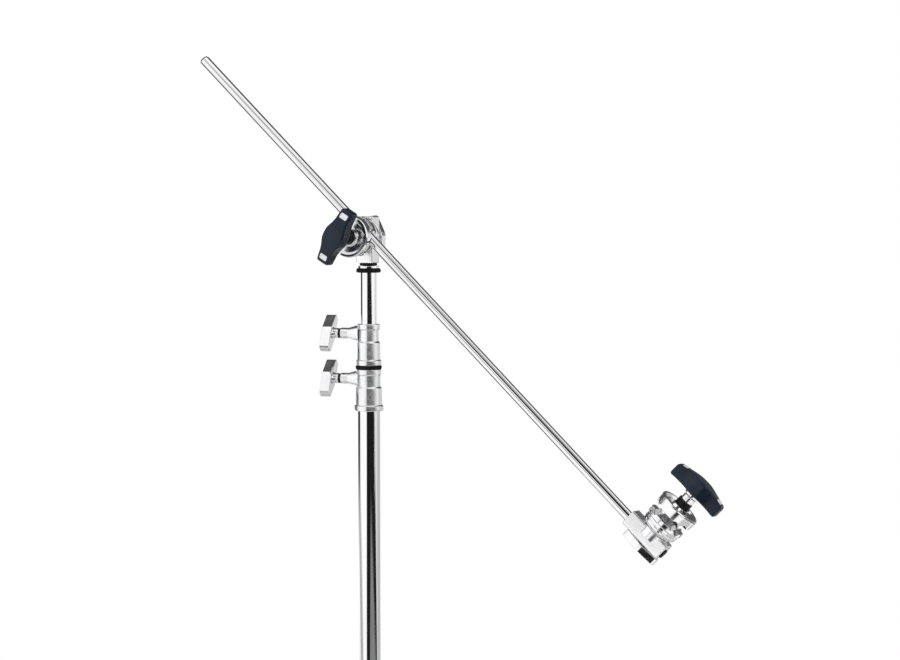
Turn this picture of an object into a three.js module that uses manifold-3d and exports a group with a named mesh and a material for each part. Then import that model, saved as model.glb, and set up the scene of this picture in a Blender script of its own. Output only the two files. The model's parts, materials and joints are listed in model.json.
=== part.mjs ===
// C-stand: a three-section grip stand with a nesting leg base, a grip head on its top stud,
// a long extension arm held in that head, and a second grip head fixed on the arm's lower end.
// Millimetres, +Z up. The origin is on the column's axis, at the underside of its foot cap;
// the feet reach the floor below it.

import * as THREE from 'three';
import { mergeVertices } from 'three/addons/utils/BufferGeometryUtils.js';
import Module from 'manifold-3d';

const wasm = await Module();
wasm.setup();

// ---------- driving dimensions ----------

const GAP = 0.3; // left between pieces that touch
const FLOOR = -85;

const COLUMN_R = 17.5;
const MIDDLE_R = 15;
const TOP_R = 12.5;
const TUBE_WALL = 1.5;
const ROD_R = 8; // the 16 mm stud and arm size that every grip head takes

const COLLAR_BASE = 1060;
const COLLAR_HEIGHT = 64;
const CUSHION_HEIGHT = 5.5;
const TOP_RISE = 79.5; // how far the top riser stands above its closed place
const COLLAR_YAW = 165; // where the lock knobs point, degrees from +X
const KNOB_TURN = 39; // how far the knobs' bars are turned from upright

const LEG_R = 12.5;
const LEG_REACH = 470;
const TOP_LEG_YAW = -28;
const HUB_HEIGHTS = { lower: 76, middle: 122, top: 168 };
const HUB_HALF = 20;

const HEAD_YAW = 244.5; // where the first head's handle points
const ARM_DROP = 43.5; // the arm's slope below level
const ARM_OFFSET = 16; // from the bolt's axis to the arm's axis
const ARM_BACK = 380; // arm length behind the first head
const ARM_FRONT = 604; // arm length from the first head to the second
const END_HEAD_ROLL = -6; // the second head's turn about the arm

// a grip head, measured along its clamp bolt from the socket's axis
const SOCKET_BELOW = 42; // from the bolt's axis to the socket's mouth
const SOCKET_ABOVE = 30;
const BODY_BACK = -10.5;
const BODY_FRONT = 16;
const DISC_R = 30.5;
const JAW_INNER = 40;
const JAW_OUTER = 51;
const OUTER_DISC_BACK = 68;
const BEARING_END = 79;
const HUB_END = 93;
const HANDLE_END = 118;
const HANDLE_HALF = 45;
const BOLT_R = 6;
const BOLT_END = 102;

const ROUND = 24; // sides on the larger round pieces
const SMALL_ROUND = 16;

// ---------- finishes ----------

const CHROME = { color: 0xd6d8da, roughness: 0.1, metalness: 1 };
const SATIN = { color: 0xc9cacb, roughness: 0.35, metalness: 1 };
const STEEL = { color: 0xa9abad, roughness: 0.4, metalness: 1 };
const BRASS = { color: 0xb08d48, roughness: 0.4, metalness: 1 };
const RUBBER = { color: 0x141414, roughness: 0.8, metalness: 0 };
const PLASTIC = { color: 0x1b2230, roughness: 0.5, metalness: 0 };
const NYLON = { color: 0x2a2a2c, roughness: 0.6, metalness: 0 };

// ---------- solid helpers ----------

function toSolid(geometry) {
  const bare = geometry.clone();
  bare.deleteAttribute('normal');
  bare.deleteAttribute('uv');
  const merged = mergeVertices(bare, 1e-4);
  return new wasm.Manifold(new wasm.Mesh({
    numProp: 3,
    vertProperties: new Float32Array(merged.attributes.position.array),
    triVerts: new Uint32Array(merged.index.array),
  }));
}

function toGeometry(solid) {
  const mesh = solid.getMesh();
  const geometry = new THREE.BufferGeometry();
  geometry.setAttribute('position', new THREE.BufferAttribute(mesh.vertProperties, 3));
  geometry.setIndex(new THREE.BufferAttribute(mesh.triVerts, 1));
  geometry.computeVertexNormals();
  return geometry;
}

function join(first, ...others) {
  return toGeometry(others.reduce((solid, other) => solid.add(toSolid(other)), toSolid(first)));
}

function cut(first, ...tools) {
  return toGeometry(tools.reduce((solid, tool) => solid.subtract(toSolid(tool)), toSolid(first)));
}

function common(first, second) {
  return toGeometry(toSolid(first).intersect(toSolid(second)));
}

// a ring or disc turned about Z from a closed list of [radius, height] points
function turned(profile, sides = ROUND) {
  const points = profile.map(([radius, height]) => new THREE.Vector2(radius, height));
  if (profile[0][0] > 0) points.push(points[0].clone());
  return new THREE.LatheGeometry(points, sides).rotateX(Math.PI / 2);
}

function rod(radius, low, high, sides = ROUND) {
  return turned([[0, low], [radius, low], [radius, high], [0, high]], sides);
}

function tube(outer, inner, low, high, sides = ROUND) {
  return turned([[inner, low], [outer, low], [outer, high], [inner, high]], sides);
}

const radians = THREE.MathUtils.degToRad;

// a piece made along Z, laid along X
const alongX = (geometry) => geometry.rotateY(Math.PI / 2);

// a slab whose outline's first axis becomes Z, pushed along X
const facingX = (geometry) => geometry.rotateY(Math.PI / 2).rotateX(Math.PI);

// a slab whose outline's axes become X and Z, pushed along Y
const facingY = (geometry) => geometry.rotateX(Math.PI / 2);

// a flat outline pushed along +Z
function slab(points, low, high) {
  const shape = new THREE.Shape(points.map(([x, y]) => new THREE.Vector2(x, y)));
  const geometry = new THREE.ExtrudeGeometry(shape, {
    depth: high - low, bevelEnabled: false, curveSegments: 1,
  });
  return geometry.translate(0, 0, low);
}

function block(width, depth, height) {
  return new THREE.BoxGeometry(width, depth, height);
}

// points on an arc, in degrees, ends included
function arc(centreX, centreY, radius, from, to, steps) {
  return Array.from({ length: steps + 1 }, (_, i) => {
    const angle = radians(from + (to - from) * i / steps);
    return [centreX + radius * Math.cos(angle), centreY + radius * Math.sin(angle)];
  });
}

// a whole outline from the quarter of it that has both numbers positive
function mirrored(quarter) {
  const back = [...quarter].reverse();
  return [
    ...quarter, ...back.map(([x, y]) => [x, -y]),
    ...quarter.map(([x, y]) => [-x, -y]), ...back.map(([x, y]) => [-x, y]),
  ];
}

// a path that ExtrudeGeometry samples exactly at its own stations
class StationPath extends THREE.Curve {
  constructor(stations) {
    super();
    this.stations = stations;
  }

  getPoint(t, target = new THREE.Vector3()) {
    const place = t * (this.stations.length - 1);
    const before = Math.min(Math.floor(place), this.stations.length - 2);
    return target.lerpVectors(this.stations[before], this.stations[before + 1], place - before);
  }

  getPointAt(t, target) {
    return this.getPoint(t, target);
  }

  getTangentAt(t, target = new THREE.Vector3()) {
    const last = this.stations.length - 1;
    const at = Math.round(t * last);
    const ahead = this.stations[Math.min(at + 1, last)];
    const behind = this.stations[Math.max(at - 1, 0)];
    return target.subVectors(ahead, behind).normalize();
  }
}

function ringShape(outer, inner, sides) {
  const corners = (radius, count) => arc(0, 0, radius, 0, 360 - 360 / count, count - 1)
    .map(([x, y]) => new THREE.Vector2(x, y));
  const shape = new THREE.Shape(corners(outer, sides));
  if (inner > 0) shape.holes.push(new THREE.Path(corners(inner, sides - 4).reverse()));
  return shape;
}

function swept(shape, stations) {
  return new THREE.ExtrudeGeometry(shape, {
    steps: stations.length - 1, extrudePath: new StationPath(stations), curveSegments: 1,
  });
}

function piece(name, geometry, finish) {
  const mesh = new THREE.Mesh(geometry, new THREE.MeshStandardMaterial(finish));
  mesh.name = name;
  return mesh;
}

function grouped(...children) {
  const group = new THREE.Group();
  group.add(...children);
  return group;
}

// ---------- base: column, hubs and nesting legs ----------

function columnPieces() {
  const capPlug = turned([
    [0, 0], [20, 0], [22, 2], [22, 6], [COLUMN_R - TUBE_WALL - GAP, 6],
    [COLUMN_R - TUBE_WALL - GAP, 22], [0, 22],
  ]);
  const tubeLow = 6 + GAP;
  const tubeHigh = COLLAR_BASE + 37;
  return [
    piece('column_foot_cap', capPlug, NYLON),
    piece('column_tube', tube(COLUMN_R, COLUMN_R - TUBE_WALL, tubeLow, tubeHigh), CHROME),
  ];
}

// the friction spring under the lowest hub, wound round the column
function baseSpring() {
  const turns = 4;
  const steps = turns * 12;
  const low = 6 + GAP + 2.3;
  const high = HUB_HEIGHTS.lower - HUB_HALF - GAP - 2.3;
  const stations = Array.from({ length: steps + 1 }, (_, i) => {
    const angle = 2 * Math.PI * turns * i / steps;
    const height = low + (high - low) * i / steps;
    return new THREE.Vector3(20.6 * Math.cos(angle), 20.6 * Math.sin(angle), height);
  });
  return piece('base_spring', swept(ringShape(2, 0, 5), stations), STEEL);
}

function hubCasting(name) {
  const ring = tube(27, COLUMN_R + GAP, -HUB_HALF, HUB_HALF);
  const socket = turned([[0, 19], [20, 19], [16.5, 44], [16.5, 66], [0, 66]], SMALL_ROUND);
  const column = rod(COLUMN_R + GAP, -HUB_HALF - 1, HUB_HALF + 1);
  const bore = rod(LEG_R + GAP, 27 + GAP, 70, SMALL_ROUND);
  const body = cut(join(ring, alongX(socket)), column, alongX(bore));
  return piece(name, body, SATIN);
}

// out level from the hub, down a steep slope, then a shallow run to the foot
function legStations(hubHeight) {
  const footHeight = FLOOR + LEG_R + 3.5;
  const start = 28;
  const bendRadius = 55;
  const steep = 52;
  const shallow = 5;
  const end = LEG_REACH;
  const slopeStart = 96;
  const downX = slopeStart + bendRadius * Math.sin(radians(steep));
  const downZ = bendRadius * (1 - Math.cos(radians(steep)));
  const upX = bendRadius * (Math.sin(radians(steep)) - Math.sin(radians(shallow)));
  const upZ = bendRadius * (Math.cos(radians(shallow)) - Math.cos(radians(steep)));
  // the straight slope's length makes up the height that the bends and the last run leave over
  const rise = hubHeight - footHeight;
  const left = rise - downZ - upZ - (end - downX - upX) * Math.tan(radians(shallow));
  const slope = left / (Math.sin(radians(steep)) - Math.cos(radians(steep)) * Math.tan(radians(shallow)));
  const upStartX = downX + slope * Math.cos(radians(steep));
  const upStartZ = hubHeight - downZ - slope * Math.sin(radians(steep));
  const firstBend = arc(slopeStart, hubHeight - bendRadius, bendRadius, 90, 90 - steep, 4);
  const centreX = upStartX + bendRadius * Math.sin(radians(steep));
  const centreZ = upStartZ + bendRadius * Math.cos(radians(steep));
  const secondBend = arc(centreX, centreZ, bendRadius, 270 - steep, 270 - shallow, 4);
  const points = [[start, hubHeight], ...firstBend, ...secondBend, [end, footHeight]];
  return points.map(([x, z]) => new THREE.Vector3(x, 0, z));
}

function legTube(name, hubHeight) {
  return piece(name, swept(ringShape(LEG_R, LEG_R - 1.8, 16), legStations(hubHeight)), CHROME);
}

// a rubber cap over the leg's end, with a flat pad on the floor
function legFoot(name, hubHeight) {
  const stations = legStations(hubHeight);
  const tip = stations[stations.length - 1];
  const inward = stations[stations.length - 2].clone().sub(tip).normalize();
  const sleeveStart = tip.clone().addScaledVector(inward, 42);
  const sleeveEnd = tip.clone().addScaledVector(inward, -6);
  const sleeve = swept(ringShape(15, 0, 16), [sleeveStart, sleeveEnd]);
  const padLow = FLOOR + 4;
  const pad = block(32, 20, 8).translate(tip.x - 14, 0, padLow);
  const boreEnd = tip.clone().addScaledVector(inward, -GAP);
  const boreStart = sleeveStart.clone().addScaledVector(inward, 5);
  const bore = swept(ringShape(LEG_R + GAP, 0, 16), [boreStart, boreEnd]);
  return piece(name, cut(join(sleeve, pad), bore), RUBBER);
}

function leg(level, yaw) {
  const height = HUB_HEIGHTS[level];
  const hub = hubCasting(`${level}_leg_hub`);
  hub.position.z = height;
  const group = grouped(hub, legTube(`${level}_leg`, height), legFoot(`${level}_leg_foot`, height));
  group.rotation.z = radians(yaw);
  return group;
}

function hubWasher(name, below, above) {
  const low = HUB_HEIGHTS[below] + HUB_HALF + GAP;
  const high = HUB_HEIGHTS[above] - HUB_HALF - GAP;
  return piece(name, tube(25, COLUMN_R + GAP, low, high), NYLON);
}

// ---------- collars with their lock screws ----------

const SCREW_HEIGHT = 49; // the lock screw's axis above the collar's base
const SCREW_R = 5;
const BOSS_END = 44;
const KNOB_FACE = 57; // where the knob's neck meets its bar
const KNOB_BORE = 7; // how deep the screw sits in the bar

// one collar casting: flange, barrel, neck and lip, with a lug that takes the lock screw
function collarCasting({ tubeR, riserR, flangeR, barrelR, neckR, lipR }) {
  const outside = turned([
    [0, 0], [flangeR - 1, 0], [flangeR, 1.5], [flangeR, 7], [barrelR, 9], [barrelR, 35],
    [neckR, 38], [neckR, 55], [lipR, 57], [lipR, COLLAR_HEIGHT - 1], [lipR - 1, COLLAR_HEIGHT],
    [0, COLLAR_HEIGHT],
  ]);
  const lugOutline = [
    [8, 2], [barrelR, 2], [28, 7], ...arc(27, 20, 7.2, -50, 30, 4),
    [31, 36], [31, 57], [18, 62], [8, 62],
  ];
  const lug = facingY(slab(lugOutline, -8, 8));
  const boss = alongX(rod(8.7, 14, BOSS_END, SMALL_ROUND)).translate(0, 0, SCREW_HEIGHT);
  const tubeBore = rod(tubeR + GAP, -1, 37 + GAP);
  const riserBore = rod(riserR + 2.2, 36, COLLAR_HEIGHT + 1);
  const screwBore = alongX(rod(SCREW_R + GAP, 8, BOSS_END + 1, SMALL_ROUND)).translate(0, 0, SCREW_HEIGHT);
  return cut(join(outside, lug, boss), tubeBore, riserBore, screwBore);
}

// a T-shaped knob: a lozenge of even thickness on a round neck; its shaft is local X, its bar local Z
function tKnob(neckR, neckStart, barStart, half, thick) {
  const middle = 12.5;
  const tip = 6.5;
  const quarter = [[10, middle], [half - 3, tip], [half, tip - 2]];
  const front = facingX(slab(mirrored(quarter), barStart - 1, barStart + thick + 1));
  const back = barStart + thick;
  const edge = half - 1.5;
  const side = facingY(slab([
    [barStart + 1.5, -half - 1], [barStart, -edge], [barStart, edge], [barStart + 1.5, half + 1],
    [back - 1.5, half + 1], [back, edge], [back, -edge], [back - 1.5, -half - 1],
  ], -middle - 1, middle + 1));
  const neck = alongX(rod(neckR, neckStart, barStart + 4, SMALL_ROUND));
  const bore = alongX(rod(SCREW_R + GAP, neckStart - 1, barStart + KNOB_BORE, SMALL_ROUND));
  return cut(join(common(front, side), neck), bore);
}

function lockScrew(start, barStart) {
  return alongX(rod(SCREW_R, start, barStart + KNOB_BORE - GAP, SMALL_ROUND));
}

// the shoe, screw, washer ring and knob of one collar; local X points outward
function collarLock(prefix, riserR) {
  const shoeIn = riserR + GAP;
  const shoeOut = shoeIn + 4;
  const pieces = [
    piece(`${prefix}_brake_shoe`, alongX(rod(4.6, shoeIn, shoeOut, SMALL_ROUND)), BRASS),
    piece(`${prefix}_lock_screw`, lockScrew(shoeOut + GAP, KNOB_FACE), STEEL),
    piece(`${prefix}_knob_washer`, alongX(tube(7.6, SCREW_R + GAP, 44 + GAP, 47.4, SMALL_ROUND)), RUBBER),
    piece(`${prefix}_t_knob`, tKnob(8, 47.4 + GAP, KNOB_FACE, 32, 16), CHROME),
  ];
  pieces[3].rotation.x = radians(KNOB_TURN);
  const group = grouped(...pieces);
  group.position.z = SCREW_HEIGHT;
  return group;
}

function collar(prefix, base, casting, riserR) {
  const body = piece(`${prefix}_collar`, collarCasting(casting), SATIN);
  const bushing = tube(riserR + 1.9, riserR + GAP, 39, COLLAR_HEIGHT - 2);
  const shoeHole = alongX(rod(5, 0, 30, SMALL_ROUND)).translate(0, 0, SCREW_HEIGHT);
  const group = grouped(
    body,
    piece(`${prefix}_collar_bushing`, cut(bushing, shoeHole), NYLON),
    collarLock(prefix, riserR),
  );
  group.position.z = base;
  group.rotation.z = radians(COLLAR_YAW);
  return group;
}

// ---------- risers ----------

const MIDDLE_BASE = COLLAR_BASE + COLLAR_HEIGHT + GAP; // the cushion ring's underside
const UPPER_COLLAR_BASE = MIDDLE_BASE + CUSHION_HEIGHT + GAP;
const UPPER_COLLAR_TOP = UPPER_COLLAR_BASE + COLLAR_HEIGHT;
const BUMPER_BASE = UPPER_COLLAR_TOP + TOP_RISE;
const MIDDLE_LENGTH = 1080;
const TOP_LENGTH = 1060;
const BUMPER_HEIGHT = 6.5;
const FLANGE_HEIGHT = 3.8;
const FLANGE_BASE = BUMPER_BASE + BUMPER_HEIGHT + GAP;
const WASHER_BASE = FLANGE_BASE + FLANGE_HEIGHT + GAP;
const BOLT_HEIGHT = WASHER_BASE + 3.5 + GAP + SOCKET_BELOW;

function riserTube(name, radius, top, length) {
  return piece(name, tube(radius, radius - TUBE_WALL, top - length, top), CHROME);
}

// a nylon plug on the lower end of a riser that keeps it centred in the tube below
function riserGuide(name, radius, outerTubeR, bottom) {
  const shape = turned([
    [radius - TUBE_WALL - 4, bottom - 10], [outerTubeR - TUBE_WALL - GAP, bottom - 10],
    [outerTubeR - TUBE_WALL - GAP, bottom - GAP], [radius - TUBE_WALL - GAP, bottom - GAP],
    [radius - TUBE_WALL - GAP, bottom + 14], [radius - TUBE_WALL - 4, bottom + 14],
  ]);
  return piece(name, shape, NYLON);
}

function middleRiser() {
  const top = UPPER_COLLAR_BASE + 37;
  const ring = turned([
    [MIDDLE_R + GAP, MIDDLE_BASE], [19.4, MIDDLE_BASE], [20.4, MIDDLE_BASE + 2],
    [20.4, MIDDLE_BASE + CUSHION_HEIGHT - 1.5], [19.4, MIDDLE_BASE + CUSHION_HEIGHT],
    [MIDDLE_R + GAP, MIDDLE_BASE + CUSHION_HEIGHT],
  ]);
  return [
    riserTube('middle_riser_tube', MIDDLE_R, top, MIDDLE_LENGTH),
    riserGuide('middle_riser_guide', MIDDLE_R, COLUMN_R, top - MIDDLE_LENGTH),
    piece('collar_cushion_ring', ring, RUBBER),
  ];
}

function topRiser() {
  const top = FLANGE_BASE - GAP;
  const bumper = turned([
    [TOP_R + GAP, BUMPER_BASE], [17.5, BUMPER_BASE], [19, BUMPER_BASE + 1.6],
    [19, BUMPER_BASE + BUMPER_HEIGHT - 1.6], [17.5, BUMPER_BASE + BUMPER_HEIGHT],
    [TOP_R + GAP, BUMPER_BASE + BUMPER_HEIGHT],
  ]);
  return [
    riserTube('top_riser_tube', TOP_R, top, TOP_LENGTH),
    riserGuide('top_riser_guide', TOP_R, MIDDLE_R, top - TOP_LENGTH),
    piece('top_bumper', bumper, RUBBER),
    piece('top_stud', topStud(), CHROME),
    piece('top_stud_washer', tube(13.5, ROD_R + GAP, WASHER_BASE, WASHER_BASE + 3.5), RUBBER),
  ];
}

// the stud that the head sits on: a plug in the tube, a flange, then the grooved 16 mm pin
function topStud() {
  const plugR = TOP_R - TUBE_WALL - GAP;
  const top = BOLT_HEIGHT + 20;
  return turned([
    [0, FLANGE_BASE - 40], [plugR, FLANGE_BASE - 40], [plugR, FLANGE_BASE], [16.5, FLANGE_BASE],
    [16.5, FLANGE_BASE + FLANGE_HEIGHT], [ROD_R, FLANGE_BASE + FLANGE_HEIGHT],
    [ROD_R, BOLT_HEIGHT - 8],
    [ROD_R - 1.5, BOLT_HEIGHT - 6], [ROD_R - 1.5, BOLT_HEIGHT + 6], [ROD_R, BOLT_HEIGHT + 8],
    [ROD_R, top - 1.5], [ROD_R - 1.5, top], [0, top],
  ]);
}

// ---------- grip heads: local X runs along the bolt to the handle, local Z up the socket ----------

function headBody() {
  const width = 15;
  const outline = [
    [BODY_BACK, -width + 5], [BODY_BACK + 5, -width], [BODY_FRONT - 3, -width],
    [BODY_FRONT, -width + 3], [BODY_FRONT, width - 3], [BODY_FRONT - 3, width],
    [BODY_BACK + 5, width], [BODY_BACK, width - 5],
  ];
  const shell = slab(outline, -SOCKET_BELOW, SOCKET_ABOVE);
  const frontBoss = alongX(rod(20, 4, BODY_FRONT));
  const socket = rod(ROD_R + GAP, -SOCKET_BELOW - 1, SOCKET_ABOVE + 1, SMALL_ROUND);
  const boltBore = alongX(rod(BOLT_R + GAP, 7, BODY_FRONT + 1, SMALL_ROUND));
  const screwBore = alongX(rod(SCREW_R + GAP, BODY_BACK - 1, -6, SMALL_ROUND));
  return cut(join(shell, frontBoss), socket, boltBore, screwBore);
}

// a square bar lying across a jaw face, one edge sunk into it, that cuts a V-groove for a rod
function grooveTool(face, rodR, offset, turn) {
  const gapCentre = (JAW_INNER + JAW_OUTER) / 2;
  const side = 2 * (rodR + GAP);
  const centre = rodR === ROD_R ? gapCentre : face;
  const bar = block(side, 2 * DISC_R + 20, side).rotateY(Math.PI / 4);
  return bar.translate(centre, 0, offset).rotateX(turn);
}

function grooves(face) {
  return [
    grooveTool(face, ROD_R, ARM_OFFSET, 0),
    grooveTool(face, 4.5, ARM_OFFSET, Math.PI),
    grooveTool(face, 3.5, ARM_OFFSET, Math.PI / 2),
    grooveTool(face, 2.5, ARM_OFFSET, -Math.PI / 2),
  ];
}

function innerDisc() {
  const shape = turned([
    [0, BODY_FRONT + GAP], [19, BODY_FRONT + GAP], [19, 23], [DISC_R - 2, 24],
    [DISC_R, 26], [DISC_R, JAW_INNER - 1], [DISC_R - 1, JAW_INNER], [0, JAW_INNER],
  ]);
  const bore = alongX(rod(BOLT_R + GAP, 0, 60, SMALL_ROUND));
  return cut(alongX(shape), bore, ...grooves(JAW_INNER));
}

function outerDisc() {
  const back = OUTER_DISC_BACK;
  const shape = turned([
    [0, JAW_OUTER], [DISC_R + 0.3, JAW_OUTER], [DISC_R + 1.3, JAW_OUTER + 1],
    [DISC_R + 2.3, back - 3], [DISC_R + 1.3, back - 1], [DISC_R - 3, back - 1],
    [DISC_R - 6, back - 5], [15, back - 5], [13, back], [0, back],
  ]);
  const bore = alongX(rod(BOLT_R + GAP, 40, 80, SMALL_ROUND));
  return cut(alongX(shape), bore, ...grooves(JAW_OUTER));
}

// the light spring that pushes the jaws apart, round the bolt between the discs
function jawSpring() {
  const turns = 3;
  const steps = turns * 8;
  const low = JAW_INNER + 1.1;
  const high = JAW_OUTER - 1.1;
  const stations = Array.from({ length: steps + 1 }, (_, i) => {
    const angle = 2 * Math.PI * turns * i / steps;
    const along = low + (high - low) * i / steps;
    return new THREE.Vector3(along, 7.2 * Math.cos(angle), 7.2 * Math.sin(angle));
  });
  return swept(ringShape(0.6, 0, 4), stations);
}

function thrustBearing() {
  const start = OUTER_DISC_BACK + GAP;
  const ribs = 3;
  const pitch = (BEARING_END - start) / ribs;
  const profile = [[BOLT_R + GAP, start]];
  for (let i = 0; i < ribs; i += 1) {
    const low = start + pitch * i;
    profile.push([11.5, low], [11.5, low + pitch * 0.65]);
    if (i < ribs - 1) profile.push([10.2, low + pitch * 0.65], [10.2, low + pitch]);
  }
  profile.push([11.5, BEARING_END], [BOLT_R + GAP, BEARING_END]);
  return alongX(turned(profile, 20));
}

// the big moulded handle: a lozenge from the front, with a bowed back seen from the side
function headHandle() {
  const half = HANDLE_HALF;
  const quarter = [[10, 19.5], [22, 15], [half - 4, 10], [half, 6]];
  const front = facingX(slab(mirrored(quarter), HUB_END - 20, HANDLE_END + 5));
  const low = HUB_END + GAP;
  const side = facingY(slab([
    [low - 2, -half - 1], [low - 1, -half + 8], [low, -14], [low, 14], [low - 1, half - 8],
    [low - 2, half + 1], [HANDLE_END - 7, half + 1], [HANDLE_END - 3, 28], [HANDLE_END, 12],
    [HANDLE_END, -12], [HANDLE_END - 3, -28], [HANDLE_END - 7, -half - 1],
  ], -30, 30));
  const bore = alongX(rod(BOLT_R + GAP, HUB_END - 5, HUB_END + 14, SMALL_ROUND));
  return cut(common(front, side), bore);
}

// the pieces that stay with the socket body; knobStart is where the knob's bar begins
function headFixedPieces(prefix, knobStart, knobTurn) {
  const shoeIn = ROD_R + 1.5 * GAP;
  const shoeOut = shoeIn + 2.4;
  const neckStart = Math.max(knobStart - 5, -BODY_BACK + GAP);
  const lock = [
    piece(`${prefix}_lock_shoe`, alongX(rod(4.6, shoeIn, shoeOut, SMALL_ROUND)), BRASS),
    piece(`${prefix}_lock_screw`, lockScrew(shoeOut + GAP, knobStart), STEEL),
    piece(`${prefix}_t_knob`, tKnob(7, neckStart, knobStart, 31, 13), CHROME),
  ];
  lock[2].rotation.x = radians(-knobTurn);
  const behind = grouped(...lock);
  behind.rotation.z = Math.PI;
  return [
    piece(`${prefix}_body`, headBody(), SATIN),
    piece(`${prefix}_clamp_bolt`, alongX(rod(BOLT_R, ROD_R + 2 * GAP, BOLT_END, SMALL_ROUND)), STEEL),
    behind,
  ];
}

// the jaws, which turn together about the bolt, and the handle that closes them
function headJaws(prefix, jawTurn, handleTurn) {
  const jaws = grouped(
    piece(`${prefix}_inner_jaw`, innerDisc(), SATIN),
    piece(`${prefix}_outer_jaw`, outerDisc(), CHROME),
    piece(`${prefix}_jaw_spring`, jawSpring(), STEEL),
  );
  jaws.rotation.x = radians(jawTurn);
  const sleeve = alongX(turned([
    [BOLT_R + GAP, BEARING_END + GAP], [10, BEARING_END + GAP], [10, 88], [12, 90],
    [12, HUB_END], [BOLT_R + GAP, HUB_END],
  ], 24));
  const handle = grouped(
    piece(`${prefix}_thrust_bearing`, thrustBearing(), NYLON),
    piece(`${prefix}_handle_sleeve`, sleeve, CHROME),
    piece(`${prefix}_handle`, headHandle(), PLASTIC),
  );
  handle.rotation.x = radians(handleTurn);
  return grouped(jaws, handle);
}

// ---------- the arm: local Y runs down the arm, local Z is square to it ----------

const ARM_X = (JAW_INNER + JAW_OUTER) / 2;
const ARM_END = ARM_FRONT + SOCKET_BELOW + SOCKET_ABOVE;
const ARM_WALL = 2;

function armPlug() {
  const fit = ROD_R - ARM_WALL - GAP;
  const profile = [[0, -12], [fit, -12], [fit, GAP], [ROD_R - 0.3, GAP], [ROD_R - 1, 2], [0, 2]];
  return turned(profile, SMALL_ROUND);
}

function armPieces() {
  const lay = (geometry) => geometry.rotateX(-Math.PI / 2).translate(ARM_X, 0, ARM_OFFSET);
  return [
    piece('arm_tube', lay(tube(ROD_R, ROD_R - ARM_WALL, -ARM_BACK, ARM_END, 24)), CHROME),
    piece('arm_top_plug', lay(armPlug().rotateX(Math.PI).translate(0, 0, -ARM_BACK)), NYLON),
    piece('arm_end_plug', lay(armPlug().translate(0, 0, ARM_END)), NYLON),
  ];
}

// the second head's socket runs down the arm, and its bolt leans from the arm's Z by the roll
function endHead() {
  const roll = radians(END_HEAD_ROLL);
  const head = grouped(...headFixedPieces('end_head', 12, 0), headJaws('end_head', 90, 0));
  head.quaternion.setFromRotationMatrix(new THREE.Matrix4().makeBasis(
    new THREE.Vector3(Math.sin(roll), 0, Math.cos(roll)),
    new THREE.Vector3(Math.cos(roll), 0, -Math.sin(roll)),
    new THREE.Vector3(0, 1, 0),
  ));
  head.position.set(ARM_X, ARM_FRONT + SOCKET_BELOW, ARM_OFFSET);
  return head;
}

function topHead() {
  const tilted = grouped(...armPieces(), endHead());
  tilted.rotation.x = radians(-ARM_DROP);
  const head = grouped(
    ...headFixedPieces('head', 20.5, 12),
    headJaws('head', -ARM_DROP, -30),
    tilted,
  );
  head.rotation.z = radians(HEAD_YAW);
  head.position.z = BOLT_HEIGHT;
  return head;
}

// ---------- the whole stand ----------

const LOWER_CASTING = {
  tubeR: COLUMN_R, riserR: MIDDLE_R, flangeR: 22.8, barrelR: 20.4, neckR: 18.6, lipR: 19.4,
};
const UPPER_CASTING = {
  tubeR: MIDDLE_R, riserR: TOP_R, flangeR: 19.7, barrelR: 17.9, neckR: 16, lipR: 17.6,
};

const stand = grouped(
  ...columnPieces(),
  baseSpring(),
  leg('top', TOP_LEG_YAW),
  leg('middle', TOP_LEG_YAW + 120),
  leg('lower', TOP_LEG_YAW - 120),
  hubWasher('lower_hub_washer', 'lower', 'middle'),
  hubWasher('upper_hub_washer', 'middle', 'top'),
  collar('lower', COLLAR_BASE, LOWER_CASTING, MIDDLE_R),
  ...middleRiser(),
  collar('upper', UPPER_COLLAR_BASE, UPPER_CASTING, TOP_R),
  ...topRiser(),
  topHead(),
);

export default stand;
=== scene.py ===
"""The looks of a grip stand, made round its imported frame: drawn tubes, turned and cast collars,
T-knobs, two grip heads with their jaws and moulded handles, and the arm between them."""
import json
import math

import bmesh
import bpy
from mathutils import Matrix, Vector


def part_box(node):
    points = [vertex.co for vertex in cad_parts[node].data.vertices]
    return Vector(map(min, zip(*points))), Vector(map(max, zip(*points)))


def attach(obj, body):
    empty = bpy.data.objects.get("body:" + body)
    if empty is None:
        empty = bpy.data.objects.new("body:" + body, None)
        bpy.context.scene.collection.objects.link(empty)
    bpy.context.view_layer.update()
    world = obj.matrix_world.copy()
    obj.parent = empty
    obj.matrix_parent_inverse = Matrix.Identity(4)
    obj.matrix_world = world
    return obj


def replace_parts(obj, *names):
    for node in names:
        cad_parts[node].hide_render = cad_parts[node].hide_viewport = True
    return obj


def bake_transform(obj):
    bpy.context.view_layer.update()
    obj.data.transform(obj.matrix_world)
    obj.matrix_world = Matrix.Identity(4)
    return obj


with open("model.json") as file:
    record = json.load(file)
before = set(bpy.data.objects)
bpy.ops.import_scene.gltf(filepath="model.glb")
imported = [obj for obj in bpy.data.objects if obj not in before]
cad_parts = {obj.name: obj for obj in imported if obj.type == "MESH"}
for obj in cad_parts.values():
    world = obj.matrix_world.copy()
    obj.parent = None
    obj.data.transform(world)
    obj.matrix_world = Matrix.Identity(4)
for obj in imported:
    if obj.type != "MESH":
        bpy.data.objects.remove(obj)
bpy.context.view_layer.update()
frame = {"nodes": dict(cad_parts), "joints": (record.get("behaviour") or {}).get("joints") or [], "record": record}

JOINTS = {joint["name"]: joint for joint in frame["joints"]}
MM = 0.001  # sizes below are millimetres, in each piece's own axes

# ---------- driving dimensions ----------

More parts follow.
